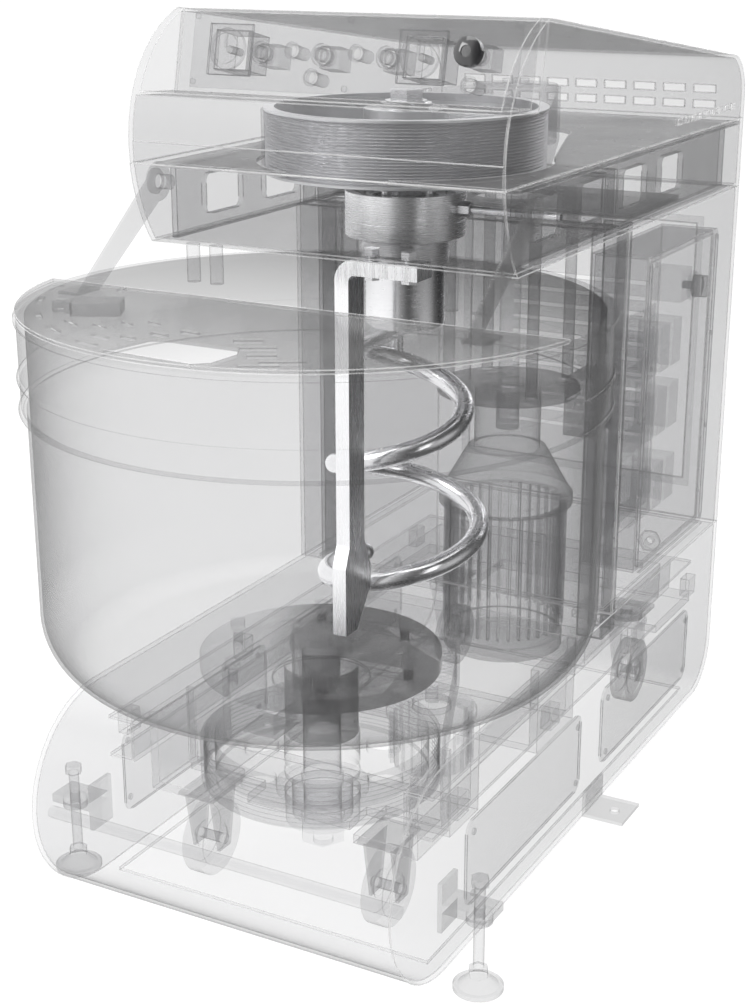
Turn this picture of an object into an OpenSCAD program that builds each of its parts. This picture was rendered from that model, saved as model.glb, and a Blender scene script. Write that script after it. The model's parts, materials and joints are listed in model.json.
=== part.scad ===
// Spiral dough mixer: fixed C-shaped casing, turning bowl, turning spiral, fixed breaker bar.
// Millimetres, +Z up, -Y is the front, origin under the middle of the machine on the floor.
// Inside the modules the working origin is the centre of the bowl rim; rf() moves it into place.

/* [Bowl] */
// Outside diameter at the bowl rim
bowl_d = 750; // [742:1:756]
// Depth from the rim to the inside of the bowl floor
bowl_depth = 465; // [464:1:467]
// Wall thickness of the bowl
bowl_wall = 4; // [3:0.5:5]
// Radius of the corner between wall and floor, outside
bowl_corner = 82; // [76:1:85]
// Radius of the disc that carries the bowl
turntable_r = 162; // [120:1:200]

/* [Casing] */
// Width of the casing
body_w = 528; // [524:2:536]
// Height of the bowl rim over the floor
rim_h = 807; // [806:1:812]
// Distance from the bowl axis to the rear wall
rear_y = 867; // [860:1:880]
// Thickness of the casing sheet
sheet = 4; // [3:0.5:5]
// Radius of the rounded front of the base
nose_r = 144; // [140:1:148]
// Height of the highest edge over the bowl rim
top_z = 347; // [345:1:352]

/* [Spiral] */
// Distance from the bowl axis to the spiral axis
spiral_y = 214; // [211:1:215]
// Radius of the bar the spiral is wound from
rod_r = 14; // [12:0.5:14]
// Drop of the spiral in one turn
pitch = 171; // [165:1:171]
// Radius of the grooved drive pulley
pulley_r = 186; // [170:1:188]

/* [Breaker bar] */
// Thickness across the front
bar_t = 20; // [16:1:20]
// Depth front to back
bar_d = 40; // [36:1:42]

/* [Drives] */
// Distance from the bowl axis to the spiral motor
motor_y = 560; // [555:1:565]
// Radius of the spiral motor over the fins
motor_r = 98; // [80:1:100]
// Distance from the bowl axis to the bowl motor
bowl_motor_y = 330; // [325:1:335]

/* [Running gear] */
// Wheel diameter
wheel_d = 107; // [105:1:108]
// Spread of the levelling feet from the middle
foot_x = 311; // [305:1:315]

/* [Hidden] */
$fn = 96;
hw = body_w / 2;
y_mid = (rear_y - bowl_d / 2) / 2;
wall_r = bowl_d / 2 - 10;
floor_z = -bowl_depth - bowl_wall;
sy = spiral_y;
sx = 12;
fl = -rim_h;
wz = fl + wheel_d / 2;
steel = [0.72, 0.73, 0.74];
clear = [0.80, 0.81, 0.82];
dark = [0.12, 0.12, 0.13];
grey = [0.55, 0.56, 0.57];
tilt = atan(23.4 / 103);
a_r1 = 28;

module rf() translate([0, -y_mid, rim_h]) children();
module at(x, y, z) translate([x, y, z]) children();
module cyl(r, z0, z1) translate([0, 0, z0]) cylinder(r = r, h = z1 - z0);
module ring(ro, ri, z0, z1) translate([0, 0, z0]) difference() {
  cylinder(r = ro, h = z1 - z0);
  translate([0, 0, -1]) cylinder(r = ri, h = z1 - z0 + 2);
}
module box(x0, x1, y0, y1, z0, z1) translate([x0, y0, z0]) cube([x1 - x0, y1 - y0, z1 - z0]);
module xrod(r, x0, x1, y, z) translate([x0, y, z]) rotate([0, 90, 0]) cylinder(r = r, h = x1 - x0);
module both() { children(); mirror([1, 0, 0]) children(); }
// a side profile drawn as (y, z), drawn out across the width
module across(x0, x1) translate([x0, 0, 0]) rotate([90, 0, 90]) linear_extrude(height = x1 - x0) children();
module rrect(y0, y1, z0, z1, r) {
  translate([y0 + r, z0]) square([y1 - y0 - 2 * r, z1 - z0]);
  translate([y0, z0 + r]) square([y1 - y0, z1 - z0 - 2 * r]);
  for (y = [y0 + r, y1 - r]) for (z = [z0 + r, z1 - r]) translate([y, z]) circle(r = r);
}
module hexnut(r, z0, z1) translate([0, 0, z0]) cylinder(r = r, h = z1 - z0, $fn = 6);
module bolt(r, z0, z1, hr, hh) {
  cyl(r, z0, z1);
  hexnut(hr, z1, z1 + hh);
}

// ---------- casing ----------
ny = -151;
nz = -795 + nose_r;
module base_profile(t) {
  translate([ny, nz]) circle(r = nose_r - t);
  translate([ny, -795 + t]) square([rear_y - 80 - ny, 2 * (nose_r - t)]);
  translate([ny, -715]) square([rear_y - t - ny, 2 * nose_r - 80 - t]);
  translate([rear_y - 80, -715]) circle(r = 80 - t);
}
module base_shell() color(clear) rf() difference() {
  across(-hw, hw) base_profile(0);
  across(-hw + sheet, hw - sheet) base_profile(sheet);
  box(-hw + 24, hw - 24, -150, 795, -800, -780);
  box(-242, 242, 408, rear_y - 16, -520, -500);
  at(150, rear_y - 10, -560) rotate([-90, 0, 0]) cylinder(r = 16.1, h = 20);
  at(0, 0, -520) cylinder(r = 66, h = 30);
}
module side_covers() color(clear) rf() both() {
  across(hw, hw + 3) rrect(-96, 276, -737, -617, 14);
  across(hw, hw + 3) rrect(359, 731, -737, -617, 14);
}
module column_shell() color(clear) rf() difference() {
  box(-hw, hw, 388, rear_y, -507, 53.6);
  box(-hw + sheet, hw - sheet, 388 + sheet, rear_y - sheet, -508, 54);
  box(hw - 6, hw + 1, 486, 756, -464, -6);
  box(-200, 200, rear_y - 6, rear_y + 1, -440, -10);
}
module rear_panel() color(clear) rf() {
  difference() {
    union() {
      box(-199, 199, rear_y - 4, rear_y, -439, -11);
      box(-212, 212, rear_y - sheet - 3, rear_y - sheet, -452, 2);
    }
    for (z = [-380 : 26 : -100]) box(-120, 120, rear_y - 10, rear_y + 1, z, z + 8);
  }
}
function arc_y(z) = 197.7 - sqrt(220 * 220 - (z - 184.3) * (z - 184.3));
module head_low_profile(t) {
  intersection() {
    translate([197.7, 184.3]) circle(r = 220 - t);
    translate([-40, 53.6 + t]) square([237.8, 107.4 - t + 1]);
  }
  translate([197.6, 53.6 + t]) square([rear_y - t - 197.6, 107.4 - t + 1]);
}
module head_frame() color(clear) rf() difference() {
  across(-hw, hw) intersection() {
    head_low_profile(0);
    translate([-50, 50]) square([1000, 110]);
  }
  across(-hw + sheet, hw - sheet) head_low_profile(sheet);
  box(-242, 242, 408, rear_y - 16, 40, 70);
  at(sx, sy, 40) cylinder(r = 70, h = 30);
  both() at(245, 48, 128) rotate([0, 90, 0]) cylinder(r = 10, h = 30);
  for (x = [52, 104]) at(x, 48, 40) cylinder(r = 6.05, h = 30);
}
module inner_frame() color(grey) { head_beams(); column_posts(); }
module head_beams() rf() {
  both() difference() {
    box(236, 244, 40, 840, 57.6, 150);
    for (y = [110 : 150 : 700]) across(230, 250) rrect(y, y + 90, 78, 132, 12);
  }
  box(-236, 236, 354, 362, 57.6, 134);
  box(-236, 236, 396, 404, 57.6, 134);
}
module deck_plate() color(clear) rf() difference() {
  across(-hw + sheet + 0.5, hw - sheet - 0.5)
    translate([30, 150]) square([rear_y - sheet - 31, 5]);
  at(sx, sy, 140) cylinder(r = pulley_r + 12, h = 30);
  at(sx, motor_y, 140) cylinder(r = 84, h = 30);
  translate([sx, 0, 140]) linear_extrude(height = 30)
    polygon([[-196, sy + 20], [196, sy + 20], [82, motor_y + 10], [-82, motor_y + 10]]);
}
// roof line: from (97.5, top_z) falling to the rear corner
function roof(y, t) = top_z - (y - 97.5) * 0.1244 - t;
module cover_solid(t) difference() {
  union() {
    intersection() {
      translate([149.5, 184.3]) circle(r = 171 - t);
      translate([-60, 160]) square([157.5, 200]);
      translate([-60, 160]) square([400, top_z - 160 - t]);
    }
    difference() {
      translate([97.4, 160]) square([rear_y - t - 97.4, 200]);
      polygon([[90, roof(90, t)], [900, roof(900, t)], [900, 500], [90, 500]]);
      translate([rear_y - 70, roof(rear_y - 70, 70)]) square([90, 200]);
    }
    translate([rear_y - 70, roof(rear_y - 70, 70)]) circle(r = 70 - t);
  }
  translate([-100, 100]) square([1200, 60]);
}
module recess_profile() polygon([[73, 244], [-60, 251.7], [-60, 400], [108.5, 400]]);
module recess_inner() polygon([[77.5, 239.5], [-60, 247.5], [-60, 400], [113.5, 400]]);
module top_cover() color(clear) rf() difference() {
  union() {
    difference() {
      across(-hw, hw) cover_solid(0);
      across(-hw + sheet, hw - sheet) difference() {
        union() {
          cover_solid(sheet);
          translate([-18, 158]) square([rear_y - sheet + 18, 30]);
        }
        recess_inner();
      }
    }
  }
  across(-252, 252) recess_profile();
  both() for (i = [0 : 8]) box(hw - 6, hw + 1, 560 + i * 30, 580 + i * 30, 178, 186);
  for (i = [-4 : 4]) for (z = [172, 196])
    box(i * 50 - 18, i * 50 + 18, rear_y - 8, rear_y + 1, z, z + 12);
  // holes behind the panel for the controls
  panel() {
    for (x = [-172, 104]) box(x - 25, x + 25, -1, 30, 29, 79);
    for (x = [-125, -36, 56]) at(x, 5, 52) rotate([90, 0, 0]) translate([0, 0, -30]) cylinder(r = 11.5, h = 40);
    for (x = [-80, 12]) at(x, 5, 56) rotate([90, 0, 0]) translate([0, 0, -30]) cylinder(r = 8.5, h = 40);
    at(-49, 5, 24) rotate([90, 0, 0]) translate([0, 0, -30]) cylinder(r = 8.5, h = 40);
    at(170, 5, 24) rotate([90, 0, 0]) translate([0, 0, -30]) cylinder(r = 8.5, h = 40);
    at(174, 5, 60) rotate([90, 0, 0]) translate([0, 0, -30]) cylinder(r = 11.5, h = 40);
  }
}

// ---------- controls, drawn on the tilted panel: x across, -y out, z up the panel ----------
module panel() translate([0, 73, 244]) rotate([-tilt, 0, 0]) children();
module pcyl(x, z, r, y0, y1) translate([x, y1, z]) rotate([90, 0, 0]) cylinder(r = r, h = y1 - y0);
module control_panel() color(clear) rf() panel() difference() {
  box(-232, 232, -3, 0, 5, 101);
  for (x = [-172, 104]) box(x - 25, x + 25, -5, 5, 29, 79);
  for (x = [-125, -36, 56]) pcyl(x, 52, 11.5, -5, 5);
  for (x = [-80, 12]) pcyl(x, 56, 8.5, -5, 5);
  pcyl(-49, 24, 8.5, -5, 5);
  pcyl(170, 24, 8.5, -5, 5);
  pcyl(174, 60, 11.5, -5, 5);
}
module timer_body(x) difference() {
  union() {
    box(x - 32, x + 32, -7, -3, 22, 86);
    box(x - 24.5, x + 24.5, -3.5, 46, 29.5, 78.5);
  }
  pcyl(x, 54, 5, -8, 20);
}
module timer_bodies() color(clear) rf() panel() { timer_body(-172); timer_body(104); }
module timer_knob(x) rf() panel() difference() {
  union() {
    pcyl(x, 54, 26, -15, -7.4);
    pcyl(x, 54, 19, -19, -15);
    pcyl(x, 54, 4.95, -8, 18);
  }
  box(x - 1.5, x + 1.5, -20, -14.5, 55, 80);
}
module timer_knob_left() color(grey) timer_knob(-172);
module timer_knob_right() color(grey) timer_knob(104);
module button_body(x, z) difference() {
  union() {
    pcyl(x, z, 14, -9, -3);
    pcyl(x, z, 11.4, -3.5, 22);
    box(x - 14, x + 14, 14, 46, z - 14, z + 14);
  }
  pcyl(x, z, 8.5, -10, 12);
}
module button_bodies() color(grey) rf() panel() {
  for (x = [-125, -36, 56]) button_body(x, 52);
  button_body(174, 60);
}
module button(x) rf() panel() pcyl(x, 52, 8.42, -13, -2);
module start_button() color(grey) button(-125);
module stop_button() color(grey) button(-36);
module speed_button() color(grey) button(56);
module emergency_stop() color(dark) rf() panel() union() {
  pcyl(174, 60, 8.42, -18, -4);
  pcyl(174, 60, 18, -27, -18);
  at(174, -27, 60) rotate([90, 0, 0]) difference() {
    intersection() {
      translate([0, 0, -30]) sphere(r = 35);
      cylinder(r = 18, h = 20);
    }
    translate([0, 0, 3]) cylinder(r = 7, h = 20);
  }
}
module lamp(x, z) {
  pcyl(x, z, 11, -6, -3);
  pcyl(x, z, 8, -9, 0);
  pcyl(x, z, 8.3, -3.2, 28);
}
module signal_lamps() color(clear) rf() panel() {
  lamp(-80, 56);
  lamp(12, 56);
  lamp(-49, 24);
  lamp(170, 24);
}
module panel_screws() rf() panel() {
  for (x = [-226, 0, 226]) for (z = [12, 95]) at(x, -3, z) rotate([90, 0, 0]) cylinder(r = 4, h = 3);
}

// ---------- cabinet at the right-hand side of the column ----------
module cabinet_box() color(clear) rf() difference() {
  box(hw - 88, hw - sheet, 478, 764, -472, 2);
  box(hw - 85, hw + 1, 481, 761, -469, -1);
}
module cabinet_cover() color(clear) rf() difference() {
  across(hw, hw + 4) rrect(476, 766, -474, 4, 12);
  xrod(9, hw - 5, hw + 10, 650, -66);
}
module cabinet_gear() color(grey) rf() {
  box(hw - 85, hw - 82, 500, 740, -450, -120);
  for (z = [-420, -300, -200]) for (i = [0 : 3])
    box(hw - 82, hw - 30, 520 + i * 52, 560 + i * 52, z, z + 70);
  isolator_body();
}
module isolator_body() difference() {
  union() {
    box(hw - 50, hw - 4, 627, 673, -90, -42);
    xrod(8.9, hw - 5, hw + 4.2, 650, -66);
    xrod(22, hw + 4, hw + 8, 650, -66);
  }
  xrod(6, hw - 10, hw + 12, 650, -66);
}
module isolator_knob() color(dark) rf() union() {
  xrod(5.95, hw - 8, hw + 10, 650, -66);
  xrod(17, hw + 8.4, hw + 18, 650, -66);
  box(hw + 18, hw + 28, 645.5, 654.5, -82, -50);
}
module screws() color(steel) { panel_screws(); cover_screws(); }
module cover_screws() rf() {
  both() for (a = [[-96, 276], [359, 731]]) for (y = [a[0] + 16, a[1] - 16]) for (z = [-721, -633])
    xrod(4.5, hw + 3, hw + 6, y, z);
  for (z = [-462, -310, -160, -8]) for (y = [488, 754]) xrod(4, hw + 4, hw + 7, y, z);
}

// ---------- inner frame ----------
module chassis() color(grey) rf() {
  xrod(8, -hw + sheet, hw - sheet, -261, -656);
  both() difference() {
    box(205, 245, -150, 800, -620, -560);
    box(209, 246, -151, 801, -616, -564);
  }
  both() for (y = [-110, 180, 480, 750]) box(245, hw - sheet, y, y + 30, -606, -576);
  both() box(100, 245, 640, 800, -632, -620);
  both() box(112, 205, -112, -24, -676, -664);
  both() box(193, 205, -112, -24, -665, -560);
  box(-205, 205, 400, 436, -620, -560);
  box(-205, 205, 760, 800, -620, -560);
  difference() {
    union() {
      box(-205, 205, -20, 66, -688, -676);
      box(-80, 80, -66, 66, -688, -676);
      both() box(193, 205, -20, 66, -680, -560);
    }
    at(0, 0, -700) cylinder(r = 52, h = 60);
  }
  difference() {
    union() {
      box(-205, 205, 262, 396, -690, -680);
      both() box(193, 205, 262, 396, -681, -560);
    }
    at(0, bowl_motor_y, -700) cylinder(r = 30, h = 60);
  }
}
module column_posts() rf() both() difference() {
  box(200, 240, 412, 462, -560, 53.6);
  box(196, 236, 416, 458, -561, 58);
}
module floor_brackets() color(grey) { anchor_tabs(); foot_brackets(); }
module anchor_tabs() rf() both() difference() {
  union() {
    box(hw, hw + 63, 300, 369, -795, -790);
    box(hw, hw + 5, 300, 369, -795, -755);
  }
  at(hw + 38, 334.5, -800) cylinder(r = 7, h = 20);
}
module foot_brackets() rf() both() difference() {
  union() {
    box(hw, foot_x + 22, -172, -128, -702, -690);
    box(hw, hw + 6, -172, -128, -730, -662);
    at(foot_x, -150, 0) cyl(17, -712, -690);
  }
  at(foot_x, -150, -740) cylinder(r = 7.05, h = 80);
}
module levelling_foot(s) at(s * foot_x, -150, 0) union() {
  cyl(7, fl + 10, -650);
  cyl(32, fl, fl + 6);
  at(0, 0, fl + 6) cylinder(r1 = 26, r2 = 12, h = 12);
  hexnut(13, fl + 18, fl + 30);
  hexnut(12, -662, -650);
}
module foot_left() color(grey) rf() levelling_foot(-1);
module foot_right() color(grey) rf() levelling_foot(1);

// ---------- wheels ----------
module wheel_at(x, y) at(x, y, wz) rotate([0, 90, 0]) difference() {
  union() {
    cylinder(r = wheel_d / 2, h = 26, center = true);
    cylinder(r = 17, h = 32, center = true);
  }
  for (s = [-1, 1]) at(0, 0, s * 19) ringcut(40, 20, 16);
  cylinder(r = 7.05, h = 60, center = true);
}
module ringcut(ro, ri, h) difference() {
  cylinder(r = ro, h = h, center = true);
  cylinder(r = ri, h = h + 2, center = true);
}
module wheel_front_left() color(dark) rf() wheel_at(-140, -68);
module wheel_front_right() color(dark) rf() wheel_at(140, -68);
module wheel_rear_left() color(dark) rf() wheel_at(-165, 745);
module wheel_rear_right() color(dark) rf() wheel_at(165, 745);
module fork_cheeks(x, y, yt, z1) {
  for (s = [-1, 1]) across(x + s * 20 - 2, x + s * 20 + 2)
    polygon([[y - 14, wz - 14], [y + 14, wz - 14], [yt + 30, z1], [yt - 30, z1]]);
  xrod(7, x - 24, x + 24, y, wz);
}
module front_wheel_forks() rf() both() {
  fork_cheeks(140, -68, -68, -682);
  box(112, 168, -104, -32, -682, -676);
}
module caster_fork(x) {
  fork_cheeks(x, 745, 722, -650);
  difference() {
    at(x, 720, 0) cyl(34, -656, -648);
  }
  at(x, 720, 0) cyl(9.95, -650, -633);
}
module caster_fork_left() color(grey) rf() caster_fork(-165);
module caster_fork_right() color(grey) rf() caster_fork(165);
module wheel_mounts() color(grey) { front_wheel_forks(); caster_plates(); }
module caster_plates() rf() both() difference() {
  union() {
    box(130, 200, 682, 758, -638, -632);
    at(165, 720, 0) cyl(26, -647.5, -632);
  }
  at(165, 720, 0) cyl(10, -660, -631);
}

// ---------- bowl ----------
module bowl_half(t) {
  r = wall_r - t;
  zc = floor_z + bowl_corner;
  translate([0, zc]) square([r, -zc - 116]);
  translate([0, floor_z + t]) square([wall_r - bowl_corner, bowl_corner]);
  intersection() {
    translate([wall_r - bowl_corner, zc]) circle(r = bowl_corner - t);
    translate([0, floor_z]) square([500, bowl_corner]);
  }
}
module bowl_shell() color(clear) rf() difference() {
  rotate_extrude() difference() {
    union() {
      bowl_half(0);
      translate([0, -118]) square([wall_r, 118]);
      translate([0, -116]) square([wall_r + 6.5, 116]);
      for (z = [-116, -76]) translate([wall_r + 6.5, z]) circle(r = 3.5, $fn = 24);
      translate([wall_r + 3, -5]) square([7, 5]);
    }
    bowl_half(bowl_wall);
    translate([-1, -120]) square([wall_r - bowl_wall + 1, 130]);
    translate([-600, -600]) square([600, 800]);
  }
}
module turntable() color(grey) rf() difference() {
  union() {
    cyl(turntable_r, floor_z - 20, floor_z);
    cyl(50, -588.4, floor_z - 20);
  }
  cyl(26, -600, floor_z + 1);
  for (a = [0 : 60 : 300]) rotate(a) at(132, 0, floor_z - 30) cylinder(r = 6.5, h = 60);
}
module bowl_bolts() color(steel) rf() {
  // studs welded under the floor, with cap nuts above them, so the bowl stays tight
  for (a = [0 : 60 : 300]) rotate(a) at(132, 0, 0) {
    cyl(6.4, floor_z - 20, floor_z);
    hexnut(11, floor_z + bowl_wall, floor_z + bowl_wall + 12);
  }
  difference() {
    cyl(42, floor_z + bowl_wall, floor_z + bowl_wall + 12);
    cyl(14, floor_z, floor_z + 30);
  }
}
module bowl_shaft() color(steel) rf() union() {
  cyl(25.9, -727, floor_z);
  cyl(29, -668, -652);
  hexnut(33, -750, -727);
  cyl(14, -758, -750);
}
function groove(r, z0, n, p, d) = concat([[0, z0], [r, z0]],
  [for (i = [0 : n - 1]) each [[r, z0 + 3 + i * p], [r - d, z0 + 3 + (i + 0.5) * p]]],
  [[r, z0 + 3 + n * p], [r, z0 + 6 + n * p], [0, z0 + 6 + n * p]]);
module bowl_drum() color(grey) rf() difference() {
  rotate_extrude() polygon(groove(161, -652, 9, 6.4, 3));
  difference() {
    cyl(146, -660, -644);
    cyl(52, -660, -640);
  }
  difference() {
    cyl(146, -632, -570);
    cyl(52, -640, -570);
  }
  cyl(26, -670, -570);
  for (a = [0 : 60 : 300]) rotate(a) at(98, 0, -660) cylinder(r = 24, h = 60);
}
module bowl_bearing_housing() color(steel) rf() difference() {
  union() {
    cyl(51.5, -720, -664);
    cyl(64, -676, -666);
  }
  cyl(42, -712, -660);
  cyl(30, -730, -650);
}
module bowl_motor() color(grey) rf() at(0, bowl_motor_y, 0) union() {
  cyl(58, -782, -700);
  for (i = [0 : 23]) rotate(i * 15) box(54, 66, -1.5, 1.5, -776, -706);
  cyl(70, -700, -690);
  cyl(29, -690, -680);
  box(-30, 30, 50, 88, -760, -710);
}
module bowl_motor_pulley() color(steel) rf() at(0, bowl_motor_y, 0) union() {
  cyl(10, -679.5, -640);
  rotate_extrude() polygon(groove(38, -652, 9, 6.4, 3));
}

// ---------- spiral ----------
module spiral_pulley() color(steel) rf() at(sx, sy, 0) difference() {
  union() {
    rotate_extrude() polygon(groove(pulley_r, 141, 20, 3.9, 2.2));
    ring(pulley_r + 1.2, pulley_r - 8, 141, 144);
    ring(pulley_r + 1.2, pulley_r - 8, 222, 225);
  }
  difference() {
    cyl(173, 168, 230);
    cyl(56, 160, 222);
  }
  difference() {
    cyl(173, 130, 156);
    cyl(56, 130, 160);
  }
  cyl(28, 130, 240);
}
module spiral_shaft() color(steel) rf() at(sx, sy, 0) union() {
  cyl(27.95, 8, 232);
  cyl(34, 222, 229);
  hexnut(24, 232, 246);
  cyl(54, -62, 17);
  cyl(50, -66, -62);
}
module housing() color(steel) rf() at(sx, sy, 0) difference() {
  union() {
    cyl(81, 57.6, 78);
    cyl(79.5, 78, 80);
    cyl(81, 80, 116);
    cyl(69.5, 53.6, 58);
    cyl(59, 20, 53.7);
  }
  cyl(44, 62, 110);
  cyl(71, 108, 118);
  cyl(30, 10, 120);
  at(0, 0, 96) rotate([0, 90, 0]) cylinder(r = 5, h = 100);
}
module bearings() color(steel) rf() {
  at(sx, sy, 0) ring(43.9, 28.3, 62, 104);
  ring(41.9, 26.3, -712, -670);
}
module housing_fittings() color(steel) { housing_bolts(); grease_pipe(); }
module housing_bolts() rf() at(sx, sy, 0)
  for (a = [30 : 60 : 330]) rotate(a) at(58, 0, 0) bolt(5, 108, 121, 8, 6);
module grease_pipe() rf() union() {
  at(sx + 70, sy, 96) rotate([0, 90, 0]) cylinder(r = 4.95, h = 236 - sx - 70);
  at(sx + 81, sy, 96) rotate([0, 90, 0]) cylinder(r = 10, h = 16, $fn = 6);
}
// the wound bar: a tube swept down a slightly widening right-handed helix
function k_of(a) = (a_r1 - a) / 180;
function hel_r(a) = 82 + 17.8 * k_of(a) - 2.9 * k_of(a) * k_of(a);
// even pitch, easing out level in the last part of the last turn
function ease(k) = k < 2.55 ? k : 2.55 + (k - 2.55) - (k - 2.55) * (k - 2.55) / 1.56;
function hel_z(a) = -180 - pitch * ease(k_of(a)) / 2;
function hel(a) = [hel_r(a) * cos(a), hel_r(a) * sin(a), hel_z(a)];
function unit(v) = v / norm(v);
helix_n = 84;
helix_m = 20;
a_top = 208;
a_end = -570;
module spiral_coil() color(steel) rf() at(sx, sy, 0) {
  pts = [for (i = [0 : helix_n]) let (
      a = a_top + (a_end - a_top) * i / helix_n, p = hel(a), t = unit(hel(a - 0.5) - hel(a + 0.5)),
      u = unit([cos(a), sin(a), 0]), n = unit(u - t * (u * t)), b = cross(t, n))
    for (j = [0 : helix_m - 1]) p + rod_r * (n * cos(360 * j / helix_m) + b * sin(360 * j / helix_m))];
  faces = concat(
    [[for (j = [0 : helix_m - 1]) j]],
    [for (i = [0 : helix_n - 1]) for (j = [0 : helix_m - 1]) let (q = (j + 1) % helix_m)
      [i * helix_m + j, (i + 1) * helix_m + j, (i + 1) * helix_m + q, i * helix_m + q]],
    [[for (j = [helix_m - 1 : -1 : 0]) helix_n * helix_m + j]]);
  polyhedron(points = pts, faces = faces, convexity = 10);
}
module spiral_arm() color(steel) rf() at(sx, sy, 0) union() {
  // slanted bar through the boss down to the start of the first turn, with an upright strut behind it
  translate([39, 20.6, -46]) rotate([0, 0, 207.9]) rotate([0, 115, 0]) cylinder(r = 13.4, h = 117);
  at(-42, 58, 0) cyl(8, -137, -98);
  translate([-42, 58, -98]) sphere(r = 8);
  translate([-42, 58, -98]) rotate([0, 0, -54]) rotate([0, 42, 0]) cylinder(r = 8, h = 52);
}

// ---------- breaker bar ----------
bar_x = 9;
bar_y = 28;
module breaker_bar() color(steel) rf() difference() {
  bz = 53.6 - 28;
  bx = bar_x + 28;
  by = bar_y + bar_d;
  union() {
    box(bar_x, bar_x + bar_t, bar_y, by, -330, bz + 0.1);
    box(bx - 0.1, 126, bar_y, by, 53.6 - bar_t, 53.6);
    intersection() {
      at(bx, bar_y, bz) rotate([-90, 0, 0]) difference() {
        cylinder(r = 28, h = bar_d);
        translate([0, 0, -1]) cylinder(r = 28 - bar_t, h = bar_d + 2);
      }
      box(bar_x - 1, bx, bar_y - 1, by + 1, bz, 54);
    }
    across(bar_x, bar_x + bar_t) polygon([[bar_y, -329], [by, -329], [86, -372], [86, -400],
      [46, -452], [bar_y - 11, -452], [bar_y - 11, -357]]);
  }
  for (x = [52, 104]) at(x, 48, 30) cylinder(r = 6.05, h = 30);
}
module breaker_bolts() color(steel) rf() for (x = [52, 104]) at(x, 48, 0) {
  cyl(6, 33.6, 58);
  hexnut(10.5, 27, 53.6 - bar_t);
  hexnut(10.5, 57.6, 67);
}

// ---------- spiral motor ----------
module motor_mount() difference() {
  union() {
    cyl(111, -240, -230);
    for (a = [45 : 90 : 315]) rotate(a) at(98, 0, 0) cyl(9, -230, 57.6);
    difference() {
      box(-235.9 - sx, 235.9 - sx, -104, 104, 57.6, 65);
      cyl(60, 50, 70);
    }
  }
  cyl(24, -250, -220);
}
module motor_support() color(grey) rf() at(sx, motor_y, 0) {
  motor_mount();
  terminal_box();
}
module spiral_motor() color(grey) rf() at(sx, motor_y, 0) union() {
  difference() {
    cyl(52, -330, -240);
    cyl(18, -300, -230);
  }
  at(0, 0, -404) cylinder(r1 = 104, r2 = 62, h = 74);
  cyl(106, -420, -404);
  cyl(88, -640, -420);
  for (i = [0 : 35]) rotate(i * 10) box(84, motor_r, -1.8, 1.8, -624, -420);
  cyl(96, -660, -640);
}
module terminal_box() {
  box(112, 156, -44, 44, -286, -196);
  box(108, 113, -30, 30, -238, -232);
}
module motor_pulley() color(steel) rf() at(sx, motor_y, 0) union() {
  cyl(16, -290, 150);
  rotate_extrude() polygon(groove(62, 141, 20, 3.9, 2.2));
  cyl(20, 225, 233);
}

// ---------- belts: flat loops that stand just clear of the grooves ----------
module loop(r1, y1, r2, y2, z0, z1, t) {
  d = y2 - y1;
  s = asin((r1 - r2) / d);
  translate([0, 0, z0]) linear_extrude(height = z1 - z0) difference() {
    union() {
      translate([0, y1]) circle(r = r1 + t);
      translate([0, y2]) circle(r = r2 + t);
      polygon([for (q = [[1, r1, y1], [1, r2, y2], [-1, r2, y2], [-1, r1, y1]])
        [q[0] * (q[1] + t) * cos(s), q[2] + (q[1] + t) * sin(s)]]);
    }
    translate([0, y1]) circle(r = r1);
    translate([0, y2]) circle(r = r2);
    polygon([for (q = [[1, r1, y1], [1, r2, y2], [-1, r2, y2], [-1, r1, y1]])
      [q[0] * q[1] * cos(s), q[2] + q[1] * sin(s)]]);
  }
}
module belts() color(dark) rf() {
  at(sx, 0, 0) loop(pulley_r + 0.6, sy, 62.6, motor_y, 145, 221, 4);
  loop(161.6, 0, 38.6, bowl_motor_y, -648, -592, 4);
}

// ---------- lid ----------
lid_y = 48;
lid_z = 128;
module lid_disc() color(clear) rf() difference() {
  intersection() {
    cyl(372, 4, 8);
    box(-400, 400, -400, -62, 0, 20);
  }
  linear_extrude(height = 12)
    polygon([[-66, -352], [-52, -284], [-36, -276], [62, -276], [76, -300], [72, -345], [56, -360]]);
  // vent slots on five rings: radius, angle, length
  for (s = [[345, 197, 30], [345, 210, 30], [345, 225, 30], [345, 238, 34], [345, 252, 34],
      [316, 219, 26], [316, 234, 30], [316, 249, 28], [292, 240, 24], [296, 254, 20],
      [259, 196, 16], [259, 241, 18], [262, 257, 24], [232, 245, 18], [234, 262, 24]])
    rotate(s[1]) at(s[0], 0, 0) box(-4, 4, -s[2] / 2, s[2] / 2, 0, 12);
  for (s = [[48, -234, 33], [77, -259, 41], [100, -288, 33], [135, -302, 50], [122, -330, 44]])
    at(s[0], s[1], 0) rotate(29) box(-s[2] / 2, s[2] / 2, -5, 5, 0, 12);
}
module lid_arm_one() difference() {
  union() {
    across(hw + 4, hw + 8) {
      polygon([[-138, 8], [-92, 8], [60, 112], [34, 142]]);
      translate([lid_y, lid_z]) circle(r = 26);
    }
    box(hw + 4, hw + 34, -138, -92, 8, 12);
  }
  xrod(10, hw, hw + 20, lid_y, lid_z);
}
module lid_arms() color(clear) rf() { both() lid_arm_one(); lid_clamp(); }
module lid_clamp() at(-185, -205, 0) rotate(28) union() {
  box(-30, 30, -20, 20, 8, 24);
  at(-30, 8, 8) cylinder(r = 12, h = 14);
  at(-48, 10, 8) cylinder(r = 8, h = 12);
  box(-48, -30, 4, 14, 9, 19);
}
module lid_pivots() color(steel) rf() both() {
  xrod(9.95, hw - 14, hw + 9, lid_y, lid_z);
  xrod(17, hw + 8.6, hw + 13, lid_y, lid_z);
}
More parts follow.
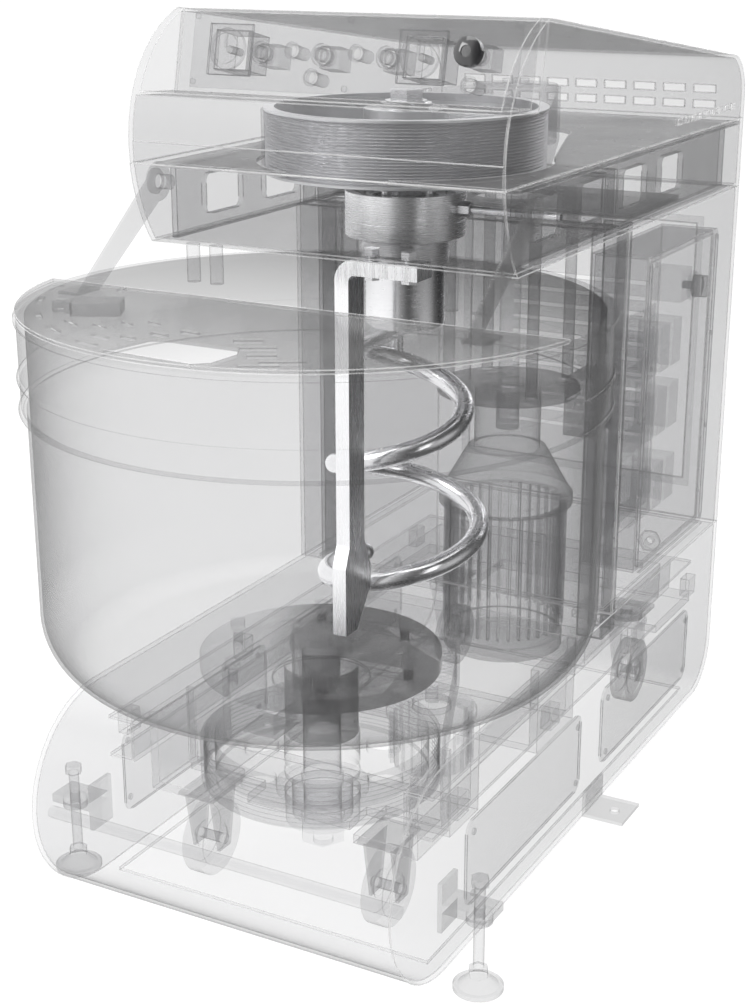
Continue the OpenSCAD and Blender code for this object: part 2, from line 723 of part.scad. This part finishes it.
module stop_pins() color(clear) rf() both() for (x = [171, 207]) {
  at(x, 32, 0) cyl(9, 3, 53.6);
}
module cable_gland() color(dark) rf() at(150, rear_y, -560) rotate([90, 0, 0]) difference() {
  union() {
    cylinder(r = 16, h = 14);
    translate([0, 0, sheet]) cylinder(r = 20, h = 10, $fn = 6);
  }
  translate([0, 0, -1]) cylinder(r = 7, h = 40);
}

base_shell();
side_covers();
column_shell();
rear_panel();
head_frame();
inner_frame();
deck_plate();
top_cover();
control_panel();
timer_bodies();
timer_knob_left();
timer_knob_right();
button_bodies();
start_button();
stop_button();
speed_button();
emergency_stop();
signal_lamps();
screws();
cabinet_box();
cabinet_cover();
cabinet_gear();
isolator_knob();
chassis();
floor_brackets();
foot_left();
foot_right();
wheel_front_left();
wheel_front_right();
wheel_rear_left();
wheel_rear_right();
wheel_mounts();
caster_fork_left();
caster_fork_right();
cable_gland();
bowl_shell();
turntable();
bowl_bolts();
bowl_shaft();
bowl_drum();
bowl_bearing_housing();
bearings();
bowl_motor();
bowl_motor_pulley();
spiral_pulley();
spiral_shaft();
spiral_coil();
spiral_arm();
housing();
housing_fittings();
breaker_bar();
breaker_bolts();
motor_support();
spiral_motor();
motor_pulley();
belts();
lid_disc();
lid_arms();
lid_pivots();
stop_pins();
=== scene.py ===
import json
import math

import bmesh
import bpy
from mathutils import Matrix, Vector


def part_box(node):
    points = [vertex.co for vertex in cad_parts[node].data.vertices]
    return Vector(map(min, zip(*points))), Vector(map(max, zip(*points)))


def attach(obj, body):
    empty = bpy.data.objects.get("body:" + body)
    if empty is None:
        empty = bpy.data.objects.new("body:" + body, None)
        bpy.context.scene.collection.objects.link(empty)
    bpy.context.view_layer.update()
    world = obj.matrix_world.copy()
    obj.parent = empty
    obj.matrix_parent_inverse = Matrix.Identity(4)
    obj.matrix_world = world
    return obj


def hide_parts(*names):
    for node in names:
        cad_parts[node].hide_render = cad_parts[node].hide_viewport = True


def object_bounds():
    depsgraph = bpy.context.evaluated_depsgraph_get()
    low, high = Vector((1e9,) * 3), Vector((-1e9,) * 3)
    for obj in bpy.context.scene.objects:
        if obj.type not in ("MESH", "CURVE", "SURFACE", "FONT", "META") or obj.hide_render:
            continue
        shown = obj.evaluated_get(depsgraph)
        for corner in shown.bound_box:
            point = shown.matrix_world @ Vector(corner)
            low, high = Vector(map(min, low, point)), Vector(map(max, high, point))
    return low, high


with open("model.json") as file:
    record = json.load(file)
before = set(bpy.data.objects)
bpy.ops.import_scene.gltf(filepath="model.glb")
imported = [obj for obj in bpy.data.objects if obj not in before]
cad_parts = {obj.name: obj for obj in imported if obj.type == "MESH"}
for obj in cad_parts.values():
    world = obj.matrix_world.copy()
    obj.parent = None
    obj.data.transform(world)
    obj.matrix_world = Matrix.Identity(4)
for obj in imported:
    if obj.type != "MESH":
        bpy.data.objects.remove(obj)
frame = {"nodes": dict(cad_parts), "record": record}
cad_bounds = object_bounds()
record = frame["record"]
joints = {j["name"]: j for j in record["behaviour"]["joints"]}
bowl_axis = Vector(joints["bowl_turn"]["pos_m"])
rim_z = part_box("bowl_shell")[1].z
RIGHT = (0.877, 0.481, 0.0)  # the way that the light fades across the machine


# ---------------------------------------------------------------- materials
def new_mat(name):
    m = bpy.data.materials.new(name)
    m.use_nodes = True
    nt = m.node_tree
    nt.nodes.clear()
    out = nt.nodes.new("ShaderNodeOutputMaterial")
    return m, nt, out


def put(node, **values):
    for key, val in values.items():
        node.inputs[key.replace("_", " ")].default_value = val


def noise(nt, scale, stretch=(1, 1, 1), detail=3.0):
    """Procedural noise in the object's own space, a value from 0 to 1."""
    co = nt.nodes.new("ShaderNodeTexCoord")
    mp = nt.nodes.new("ShaderNodeMapping")
    mp.inputs["Scale"].default_value = stretch
    nt.links.new(co.outputs["Object"], mp.inputs["Vector"])
    nz = nt.nodes.new("ShaderNodeTexNoise")
    put(nz, Scale=scale, Detail=detail, Roughness=0.55)
    nt.links.new(mp.outputs["Vector"], nz.inputs["Vector"])
    return nz.outputs["Fac"]


def remap(nt, value, lo, hi, a=0.0, b=1.0):
    """value taken from the range a to b into the range lo to hi, and held there."""
    r = nt.nodes.new("ShaderNodeMapRange")
    put(r, From_Min=a, From_Max=b, To_Min=lo, To_Max=hi)
    nt.links.new(value, r.inputs["Value"])
    return r.outputs["Result"]


def tones(nt, value, dark, light):
    """A colour between dark and light, by value."""
    r = nt.nodes.new("ShaderNodeValToRGB")
    r.color_ramp.elements[0].position = 0.3
    r.color_ramp.elements[1].position = 0.7
    r.color_ramp.elements[0].color = (*dark, 1)
    r.color_ramp.elements[1].color = (*light, 1)
    nt.links.new(value, r.inputs["Fac"])
    return r.outputs["Color"]


def math_node(nt, op, a, b):
    m = nt.nodes.new("ShaderNodeMath")
    m.operation = op
    for i, v in enumerate((a, b)):
        if isinstance(v, (int, float)):
            m.inputs[i].default_value = v
        else:
            nt.links.new(v, m.inputs[i])
    return m.outputs["Value"]


def along(nt, direction, start, end, lo, hi):
    """A value that goes from lo to hi along a direction in the object's own space, in metres."""
    co = nt.nodes.new("ShaderNodeTexCoord")
    dot = nt.nodes.new("ShaderNodeVectorMath")
    dot.operation = "DOT_PRODUCT"
    dot.inputs[1].default_value = direction
    nt.links.new(co.outputs["Object"], dot.inputs[0])
    return remap(nt, dot.outputs["Value"], lo, hi, start, end)


def painted_rim_shade(nt):
    """Painted shade on the upper part of the bowl's inner face near its rim, deeper to the right: how much
    it darkens, from 1 (not at all) down to about 0.4.
    """
    co = nt.nodes.new("ShaderNodeTexCoord")
    flat = nt.nodes.new("ShaderNodeVectorMath")
    flat.operation = "MULTIPLY_ADD"
    flat.inputs[1].default_value = (1, 1, 0)
    flat.inputs[2].default_value = (-bowl_axis.x, -bowl_axis.y, 0)
    nt.links.new(co.outputs["Object"], flat.inputs[0])
    dot = nt.nodes.new("ShaderNodeVectorMath")
    dot.operation = "DOT_PRODUCT"
    nt.links.new(flat.outputs["Vector"], dot.inputs[0])
    nt.links.new(co.outputs["Normal"], dot.inputs[1])
    inward = remap(nt, dot.outputs["Value"], 1.0, 0.0, -0.30, -0.05)
    near_rim = along(nt, (0, 0, 1), rim_z - 0.15, rim_z - 0.01, 0.0, 1.0)
    # the painted shade grows towards the right, away from the light
    side = along(nt, RIGHT, -0.45, 0.08, 0.32, 0.62)
    geo = nt.nodes.new("ShaderNodeNewGeometry")
    front = remap(nt, geo.outputs["Backfacing"], 1.0, 0.0)
    amount = math_node(nt, "MULTIPLY", inward, near_rim)
    amount = math_node(nt, "MULTIPLY", amount, side)
    amount = math_node(nt, "MULTIPLY", amount, front)
    return math_node(nt, "SUBTRACT", 1.0, amount)


BACK_SHARE = 0.7  # how much of its haze a wall keeps on the faces seen from behind


def ghost(name, clear, haze, tone, power, rough=0.25, shade_sweep=None, rim=False, level=1.0):
    """A see-through wall: clear and haze give how it is face on and where it turns away.

    clear is the light that passes each surface, haze the share that the surface hides,
    tone the darkest and lightest grey of what it shows instead, power how late it turns.
    The sweep paints shade along a direction: (direction, start, end, clear at the end, haze at
    the end). The rim option paints shade on the bowl's inner face near its rim. level is the share of all
    this that is left on level faces."""
    m, nt, out = new_mat(name)
    cloud = noise(nt, 6.0)
    lw = nt.nodes.new("ShaderNodeLayerWeight")
    lw.inputs["Blend"].default_value = 0.5
    turn = math_node(nt, "POWER", lw.outputs["Facing"], power)
    co = nt.nodes.new("ShaderNodeTexCoord")
    sep = nt.nodes.new("ShaderNodeSeparateXYZ")
    nt.links.new(co.outputs["Normal"], sep.inputs[0])
    flat = remap(nt, math_node(nt, "ABSOLUTE", sep.outputs["Z"], 0.0), 1.0, level, 0.8, 1.0)
    glass = nt.nodes.new("ShaderNodeBsdfTransparent")
    passed = nt.nodes.new("ShaderNodeMix")
    passed.data_type = "RGBA"
    # sockets of a colour mix: 0 factor, 6 and 7 the two colours, result 2
    passed.inputs[6].default_value = (clear[0], clear[0], clear[0] * 1.002, 1)
    passed.inputs[7].default_value = (clear[1], clear[1], clear[1] * 1.004, 1)
    nt.links.new(turn, passed.inputs[0])
    # dim scales the passing light by the painted shade of the rim and sweep options
    dim = nt.nodes.new("ShaderNodeVectorMath")
    dim.operation = "SCALE"
    nt.links.new(passed.outputs[2], dim.inputs[0])
    dim.inputs["Scale"].default_value = 1.0
    if rim:
        nt.links.new(painted_rim_shade(nt), dim.inputs["Scale"])
    if shade_sweep:
        nt.links.new(along(nt, *shade_sweep[:3], 1.0, shade_sweep[3]), dim.inputs["Scale"])
    opened = nt.nodes.new("ShaderNodeMix")
    opened.data_type = "RGBA"
    opened.inputs[6].default_value = (1, 1, 1, 1)
    nt.links.new(flat, opened.inputs[0])
    nt.links.new(dim.outputs["Vector"], opened.inputs[7])
    nt.links.new(opened.outputs[2], glass.inputs["Color"])
    body = nt.nodes.new("ShaderNodeBsdfPrincipled")
    put(body, Metallic=0.0, IOR=1.5)
    nt.links.new(tones(nt, cloud, (tone[0],) * 3, (tone[1],) * 3), body.inputs["Base Color"])
    nt.links.new(remap(nt, noise(nt, 60.0), rough * 0.7, rough * 1.3), body.inputs["Roughness"])
    amount = remap(nt, turn, haze[0], haze[1])
    amount = math_node(nt, "MULTIPLY", amount, remap(nt, cloud, 0.85, 1.15, 0.3, 0.7))
    geo = nt.nodes.new("ShaderNodeNewGeometry")
    amount = math_node(nt, "MULTIPLY", amount, remap(nt, geo.outputs["Backfacing"], 1.0, BACK_SHARE))
    amount = math_node(nt, "MULTIPLY", amount, flat)
    # painted shade: the sweep also thickens the dark haze towards its end
    if shade_sweep:
        amount = math_node(nt, "MULTIPLY", amount, along(nt, *shade_sweep[:3], 1.0, shade_sweep[4]))
    mix = nt.nodes.new("ShaderNodeMixShader")
    nt.links.new(amount, mix.inputs["Fac"])
    nt.links.new(glass.outputs[0], mix.inputs[1])
    nt.links.new(body.outputs[0], mix.inputs[2])
    nt.links.new(mix.outputs[0], out.inputs["Surface"])
    return m


def solid(name, dark, light, metal, rough, grain=(1, 1, 1), scale=40.0, bump=0.0, coat=0.0):
    """An opaque surface: mottled tone, roughness that wanders, and a fine grain in the relief."""
    m, nt, out = new_mat(name)
    body = nt.nodes.new("ShaderNodeBsdfPrincipled")
    put(body, Metallic=metal, Coat_Weight=coat, Coat_Roughness=0.08)
    wide = noise(nt, 5.0)
    fine = noise(nt, scale, grain, 4.0)
    nt.links.new(tones(nt, wide, dark, light), body.inputs["Base Color"])
    nt.links.new(remap(nt, fine, rough * 0.65, rough * 1.35, 0.3, 0.7), body.inputs["Roughness"])
    if bump:
        b = nt.nodes.new("ShaderNodeBump")
        put(b, Strength=bump, Distance=0.0006)
        nt.links.new(fine, b.inputs["Height"])
        nt.links.new(b.outputs["Normal"], body.inputs["Normal"])
    nt.links.new(body.outputs[0], out.inputs["Surface"])
    return m


CASING = ghost("casing_clear", (0.952, 0.34), (0.045, 0.28), (0.34, 0.48), 7.0, level=0.25)
UPRIGHT = ghost("upright_clear", (0.925, 0.34), (0.05, 0.28), (0.34, 0.48), 7.0)
HEAD = ghost("head_clear", (0.928, 0.34), (0.055, 0.30), (0.32, 0.46), 7.0)
COVER = ghost("cover_clear", (0.94, 0.45), (0.06, 0.30), (0.34, 0.48), 6.0)
# painted shade: the bowl's inner face darkens near its rim, deeper to the right
BOWL = ghost("bowl_clear", (0.928, 0.54), (0.045, 0.27), (0.24, 0.36), 3.5, 0.2, rim=True, level=0.5)
# painted shade: the lid darkens towards the right and back
LID = ghost("lid_clear", (0.91, 0.45), (0.08, 0.25), (0.42, 0.58), 4.5, 0.15,
            shade_sweep=(RIGHT, -0.42, -0.08, 0.90, 1.3))
SMOKE = ghost("smoke_part", (0.87, 0.40), (0.13, 0.55), (0.18, 0.30), 3.0, 0.3)
FRAME = ghost("frame_part", (0.92, 0.45), (0.09, 0.50), (0.20, 0.32), 3.0, 0.3)
# painted shade and dark reflection: the turntable disc darkens towards the right and back
DISC = ghost("disc_part", (0.97, 0.84), (0.05, 0.22), (0.15, 0.20), 2.4, 0.25,
             shade_sweep=(RIGHT, -0.19, -0.09, 0.72, 4.2))
DRUM = ghost("drum_part", (0.955, 0.40), (0.06, 0.48), (0.18, 0.30), 4.5, 0.3, level=0.6)
CORE = ghost("core_part", (0.98, 0.55), (0.025, 0.35), (0.24, 0.38), 5.0, 0.3)
MIST = ghost("mist_part", (0.952, 0.45), (0.06, 0.38), (0.26, 0.40), 6.0, 0.3, level=0.45)
PALE = ghost("pale_part", (0.945, 0.48), (0.08, 0.42), (0.34, 0.50), 3.0, 0.3)
BELT = ghost("belt_clear", (0.98, 0.85), (0.04, 0.16), (0.40, 0.55), 1.5, 0.5)
POLISHED = solid("polished_steel", (0.72, 0.72, 0.73), (0.82, 0.82, 0.83), 1.0, 0.22, (1, 1, 6), 70.0, 0.03)
BRUSHED = solid("brushed_bar", (0.90, 0.90, 0.91), (0.97, 0.97, 0.98), 1.0, 0.28, (60, 60, 1.5), 9.0, 0.01)
TURNED = solid("turned_steel", (0.52, 0.52, 0.53), (0.66, 0.66, 0.67), 1.0, 0.44, (1, 1, 40), 30.0, 0.01)
MACHINED = solid("machined_steel", (0.74, 0.74, 0.75), (0.84, 0.84, 0.85), 1.0, 0.26, (1, 1, 40), 30.0,
                 0.02)
BLACK = solid("black_gloss", (0.006, 0.006, 0.007), (0.016, 0.016, 0.018), 0.0, 0.14, scale=90.0,
              bump=0.04, coat=0.6)

LOOK = {}
for names, mat in (
    ("base_shell", CASING),
    ("column_shell rear_panel", UPRIGHT),
    ("head_frame top_cover", HEAD),
    ("side_covers cabinet_cover control_panel cabinet_box", COVER),
    ("bowl_shell", BOWL),
    ("lid_disc lid_arms", LID),
    ("motor_support isolator_knob", SMOKE),
    ("inner_frame spiral_motor", FRAME),
    ("bowl_drum", DRUM),
    ("bowl_shaft bowl_bearing_housing bearings", CORE),
    ("turntable", DISC),
    ("chassis cabinet_gear wheel_front_left wheel_front_right bowl_motor bowl_bolts"
     " caster_fork_left caster_fork_right", MIST),
    ("deck_plate floor_brackets wheel_mounts stop_pins foot_left foot_right wheel_rear_left"
     " wheel_rear_right timer_bodies timer_knob_left timer_knob_right button_bodies signal_lamps"
     " start_button stop_button speed_button cable_gland lid_pivots screws", PALE),
    ("belts motor_pulley bowl_motor_pulley", BELT),
    ("spiral_coil spiral_arm spiral_shaft", POLISHED),
    ("breaker_bar", BRUSHED),
    ("spiral_pulley", TURNED),
    ("housing housing_fittings breaker_bolts", MACHINED),
    ("emergency_stop", BLACK),
):
    for n in names.split():
        LOOK[n] = mat
for n, o in frame["nodes"].items():
    o.data.materials.clear()
    o.data.materials.append(LOOK[n])


# ---------------------------------------------------------------- mesh helpers
def make(name, verts, faces, mat, body, smooth=True):
    me = bpy.data.meshes.new(name)
    me.from_pydata([tuple(v) for v in verts], [], faces)
    me.validate()
    bm = bmesh.new()
    bm.from_mesh(me)
    bmesh.ops.recalc_face_normals(bm, faces=bm.faces)
    bm.to_mesh(me)
    bm.free()
    for p in me.polygons:
        p.use_smooth = smooth
    me.materials.append(mat)
    ob = bpy.data.objects.new(name, me)
    bpy.context.scene.collection.objects.link(ob)
    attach(ob, body)
    return ob


DOME = (0.35, 0.75, 1.1, 1.4)  # angles of the rings that round off a bar's end


def tube(points, radius, sides):
    """Vertices and faces of a round bar along points, with domed ends."""
    pts = [Vector(p) for p in points]
    verts, faces, rings = [], [], []
    up = None
    for i, p in enumerate(pts):
        t = (pts[min(i + 1, len(pts) - 1)] - pts[max(i - 1, 0)]).normalized()
        if up is None:
            up = t.orthogonal().normalized()
        up = (up - t * up.dot(t)).normalized()
        side = t.cross(up)
        spots = [(p, 1.0)]
        if i == 0:
            spots = [(p - t * radius * math.sin(a), math.cos(a)) for a in reversed(DOME)] + spots
        if i == len(pts) - 1:
            spots = spots + [(p + t * radius * math.sin(a), math.cos(a)) for a in DOME]
        for centre, k in spots:
            rings.append([len(verts) + j for j in range(sides)])
            for j in range(sides):
                a = 2 * math.pi * j / sides
                verts.append(centre + (up * math.cos(a) + side * math.sin(a)) * radius * k)
    for a, b in zip(rings, rings[1:]):
        for j in range(sides):
            k = (j + 1) % sides
            faces.append((a[j], a[k], b[k], b[j]))
    faces.append(tuple(reversed(rings[0])))
    faces.append(tuple(rings[-1]))
    return verts, faces


def sharp_edges(node, degrees, least):
    """The sharp edges of a CAD node as pairs of points."""
    bm = bmesh.new()
    bm.from_mesh(frame["nodes"][node].data)
    bmesh.ops.remove_doubles(bm, verts=bm.verts, dist=2e-5)
    found = []
    for e in bm.edges:
        if len(e.link_faces) == 2 and e.calc_length() > least:
            if e.calc_face_angle(0.0) > math.radians(degrees):
                found.append((e.verts[0].co.copy(), e.verts[1].co.copy()))
    bm.free()
    return found


SHARP = 32  # degrees between two faces that make a seam
SHORTEST = 0.004  # seams shorter than this are left out


def lines(node, body, mat, radius, keep=None):
    """Fine rounded lines along a node's sharp edges: painted highlights when the material is pale, dark
    seams when it is dark.
    """
    verts, faces = [], []
    for a, b in sharp_edges(node, SHARP, SHORTEST):
        if keep and not (keep(a) and keep(b)):
            continue
        t = (b - a).normalized()
        u = t.orthogonal().normalized()
        w = t.cross(u)
        base = len(verts)
        for p in (a, b):
            for k in range(4):
                ang = math.pi * (k + 0.5) / 2
                verts.append(p + (u * math.cos(ang) + w * math.sin(ang)) * radius)
        for k in range(4):
            q = (k + 1) % 4
            faces.append((base + k, base + q, base + 4 + q, base + 4 + k))
        faces.append((base + 3, base + 2, base + 1, base))
        faces.append((base + 4, base + 5, base + 6, base + 7))
    return make(node + "_highlight_and_seam_lines", verts, faces, mat, body, False)


# ---------------------------------------------------------------- the wound spiral, smooth
ROD = 0.014  # radius of the bar
ROD_SIDES = 32
PITCH = 0.171
START = 208  # angle of the upper end, degrees
SWEEP = 778  # how far the bar winds, degrees
NARROW = 28  # angle at which the radius is the one below
LEVEL = 2.55  # half turns from there to where the bar begins to level out
SOFTEN = 1.56  # how slowly it does so, in half turns
STEPS = 260

spin = Vector(joints["spiral_turn"]["pos_m"])


def coil_point(deg):
    """Middle of the bar: a widening right-handed helix that levels out at the bottom."""
    k = (NARROW - deg) / 180
    r = 0.082 + 0.0178 * k - 0.0029 * k * k
    drop = k if k < LEVEL else LEVEL + (k - LEVEL) - (k - LEVEL) ** 2 / SOFTEN
    a = math.radians(deg)
    return Vector((spin.x + r * math.cos(a), spin.y + r * math.sin(a), -PITCH / 2 * drop))


path = [coil_point(START - SWEEP * i / STEPS) for i in range(STEPS + 1)]
tv, tf = tube(path, ROD, ROD_SIDES)
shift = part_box("spiral_coil")[0].z - min(v.z for v in tv)
tv = [v + Vector((0, 0, shift)) for v in tv]
coil = make("spiral_tool", tv, tf, POLISHED, "spiral")
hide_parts("spiral_coil")


# ---------------------------------------------------------------- painted highlight lines and dark seams on sharp edges
def edge_mat(name, tone, cover):
    m, nt, out = new_mat(name)
    clear = nt.nodes.new("ShaderNodeBsdfTransparent")
    body = nt.nodes.new("ShaderNodeBsdfPrincipled")
    put(body, Roughness=0.4)
    wander = noise(nt, 14.0)
    nt.links.new(tones(nt, wander, tuple(c * 0.9 for c in tone), tone), body.inputs["Base Color"])
    mix = nt.nodes.new("ShaderNodeMixShader")
    nt.links.new(remap(nt, wander, cover * 0.6, cover * 1.2, 0.3, 0.7), mix.inputs["Fac"])
    nt.links.new(clear.outputs[0], mix.inputs[1])
    nt.links.new(body.outputs[0], mix.inputs[2])
    nt.links.new(mix.outputs[0], out.inputs["Surface"])
    return m


# painted highlight: pale lines that stand in for light glinting off sharp edges
PAINTED_EDGE_HIGHLIGHT = edge_mat("painted_edge_highlight", (0.88, 0.88, 0.88), 0.30)
DARK_SEAM = edge_mat("seam_dark", (0.20, 0.20, 0.21), 0.32)


def lid_outline(p):
    """True on the lid's rim and straight back edge, so that the slots get no painted highlight lines."""
    return (p - bowl_axis).xy.length > 0.355 or p.y > bowl_axis.y - 0.08


home = {n: b for b, ns in record["behaviour"]["bodies"].items() for n in ns}
# the pale rows get painted highlight lines on their edges, the dark rows dark seams
for nodes, mat, rad in (
    ("base_shell column_shell head_frame top_cover", PAINTED_EDGE_HIGHLIGHT, 0.0010),
    ("side_covers cabinet_cover", DARK_SEAM, 0.0008),
    ("cabinet_box deck_plate lid_disc chassis", PAINTED_EDGE_HIGHLIGHT, 0.0008),
    ("inner_frame", DARK_SEAM, 0.0008),
    ("timer_bodies", DARK_SEAM, 0.0006),
):
    for node in nodes.split():
        keep = lid_outline if node == "lid_disc" else None
        lines(node, home[node], mat, rad, keep)

# ---------------------------------------------------------------- floor, light, camera
FLOOR_HALF = 30.0
FLOOR_Z = -0.0005
corners = [(x * FLOOR_HALF, y * FLOOR_HALF, FLOOR_Z) for x, y in ((-1, -1), (1, -1), (1, 1), (-1, 1))]
me = bpy.data.meshes.new("floor")
me.from_pydata(corners, [], [(0, 1, 2, 3)])
floor = bpy.data.objects.new("floor", me)
bpy.context.scene.collection.objects.link(floor)
m, nt, out = new_mat("floor_pale")
b = nt.nodes.new("ShaderNodeBsdfPrincipled")
put(b, Roughness=0.9, Emission_Color=(1, 1, 1, 1), Emission_Strength=0.94)
nt.links.new(tones(nt, noise(nt, 0.8), (0.10, 0.10, 0.10), (0.12, 0.12, 0.12)), b.inputs["Base Color"])
nt.links.new(b.outputs[0], out.inputs["Surface"])
me.materials.append(m)
floor.visible_glossy = False

world = bpy.data.worlds.new("studio")
bpy.context.scene.world = world
world.use_nodes = True
wn = world.node_tree
wn.nodes.clear()
wo = wn.nodes.new("ShaderNodeOutputWorld")
seen = wn.nodes.new("ShaderNodeBackground")
seen.inputs["Color"].default_value = (1, 1, 1, 1)
seen.inputs["Strength"].default_value = 1.0
way = wn.nodes.new("ShaderNodeTexCoord")
split = wn.nodes.new("ShaderNodeSeparateXYZ")
wn.links.new(way.outputs["Generated"], split.inputs[0])
across = wn.nodes.new("ShaderNodeMapRange")
put(across, From_Min=-1.0, From_Max=1.0)
wn.links.new(split.outputs["X"], across.inputs["Value"])


def sky(strength, stops):
    """Studio walls: bright on the left, dark on the right."""
    ramp = wn.nodes.new("ShaderNodeValToRGB")
    for pos, val in stops:
        if pos in (0.0, 1.0):
            e = ramp.color_ramp.elements[0 if pos == 0.0 else -1]
            e.position = pos
        else:
            e = ramp.color_ramp.elements.new(pos)
        e.color = (val, val, val, 1)
    wn.links.new(across.outputs["Result"], ramp.inputs["Fac"])
    lit = wn.nodes.new("ShaderNodeBackground")
    lit.inputs["Strength"].default_value = strength
    wn.links.new(ramp.outputs["Color"], lit.inputs["Color"])
    return lit


soft = sky(0.8, ((0.0, 0.9), (0.42, 0.75), (0.62, 0.35), (0.80, 0.22), (1.0, 0.4)))
mirrored = sky(1.7, ((0.0, 1.0), (0.44, 0.9), (0.58, 0.30), (0.78, 0.06), (0.92, 0.10), (1.0, 0.5)))
lp = wn.nodes.new("ShaderNodeLightPath")
gm = wn.nodes.new("ShaderNodeMixShader")
wn.links.new(lp.outputs["Is Glossy Ray"], gm.inputs["Fac"])
wn.links.new(soft.outputs[0], gm.inputs[1])
wn.links.new(mirrored.outputs[0], gm.inputs[2])
wm = wn.nodes.new("ShaderNodeMixShader")
wn.links.new(lp.outputs["Is Camera Ray"], wm.inputs["Fac"])
wn.links.new(gm.outputs[0], wm.inputs[1])
wn.links.new(seen.outputs[0], wm.inputs[2])
wn.links.new(wm.outputs[0], wo.inputs["Surface"])


def area(name, place, target, size, watts):
    d = bpy.data.lights.new(name, "AREA")
    d.shape = "RECTANGLE"
    d.size, d.size_y = size
    d.energy = watts
    o = bpy.data.objects.new(name, d)
    o.location = place
    o.rotation_euler = (Vector(target) - Vector(place)).to_track_quat("-Z", "Y").to_euler()
    bpy.context.scene.collection.objects.link(o)


mid = (cad_bounds[0] + cad_bounds[1]) / 2
area("key", mid + Vector((-2.6, -3.0, 2.6)), mid, (2.4, 2.4), 120)
area("top", mid + Vector((0.0, 0.0, 3.4)), mid, (3.2, 3.2), 90)
area("fill", mid + Vector((3.4, -2.2, 1.0)), mid, (1.2, 2.6), 25)
area("back", mid + Vector((1.0, 3.6, 1.6)), mid, (3.0, 2.0), 60)

cam = bpy.data.cameras.new("camera")
cam.sensor_width = 36.0
cam.lens = 63.036
cam.shift_x = 0.00134
cam.shift_y = 0.0084
camera = bpy.data.objects.new("camera", cam)
camera.location = (1.10545, -2.10921, 1.26924)
camera.rotation_euler = (math.radians(71.25), math.radians(0.04), math.radians(28.75))
bpy.context.scene.collection.objects.link(camera)
bpy.context.scene.camera = camera
bpy.context.scene.view_settings.view_transform = "Standard"
bpy.context.scene.cycles.transparent_max_bounces = 64
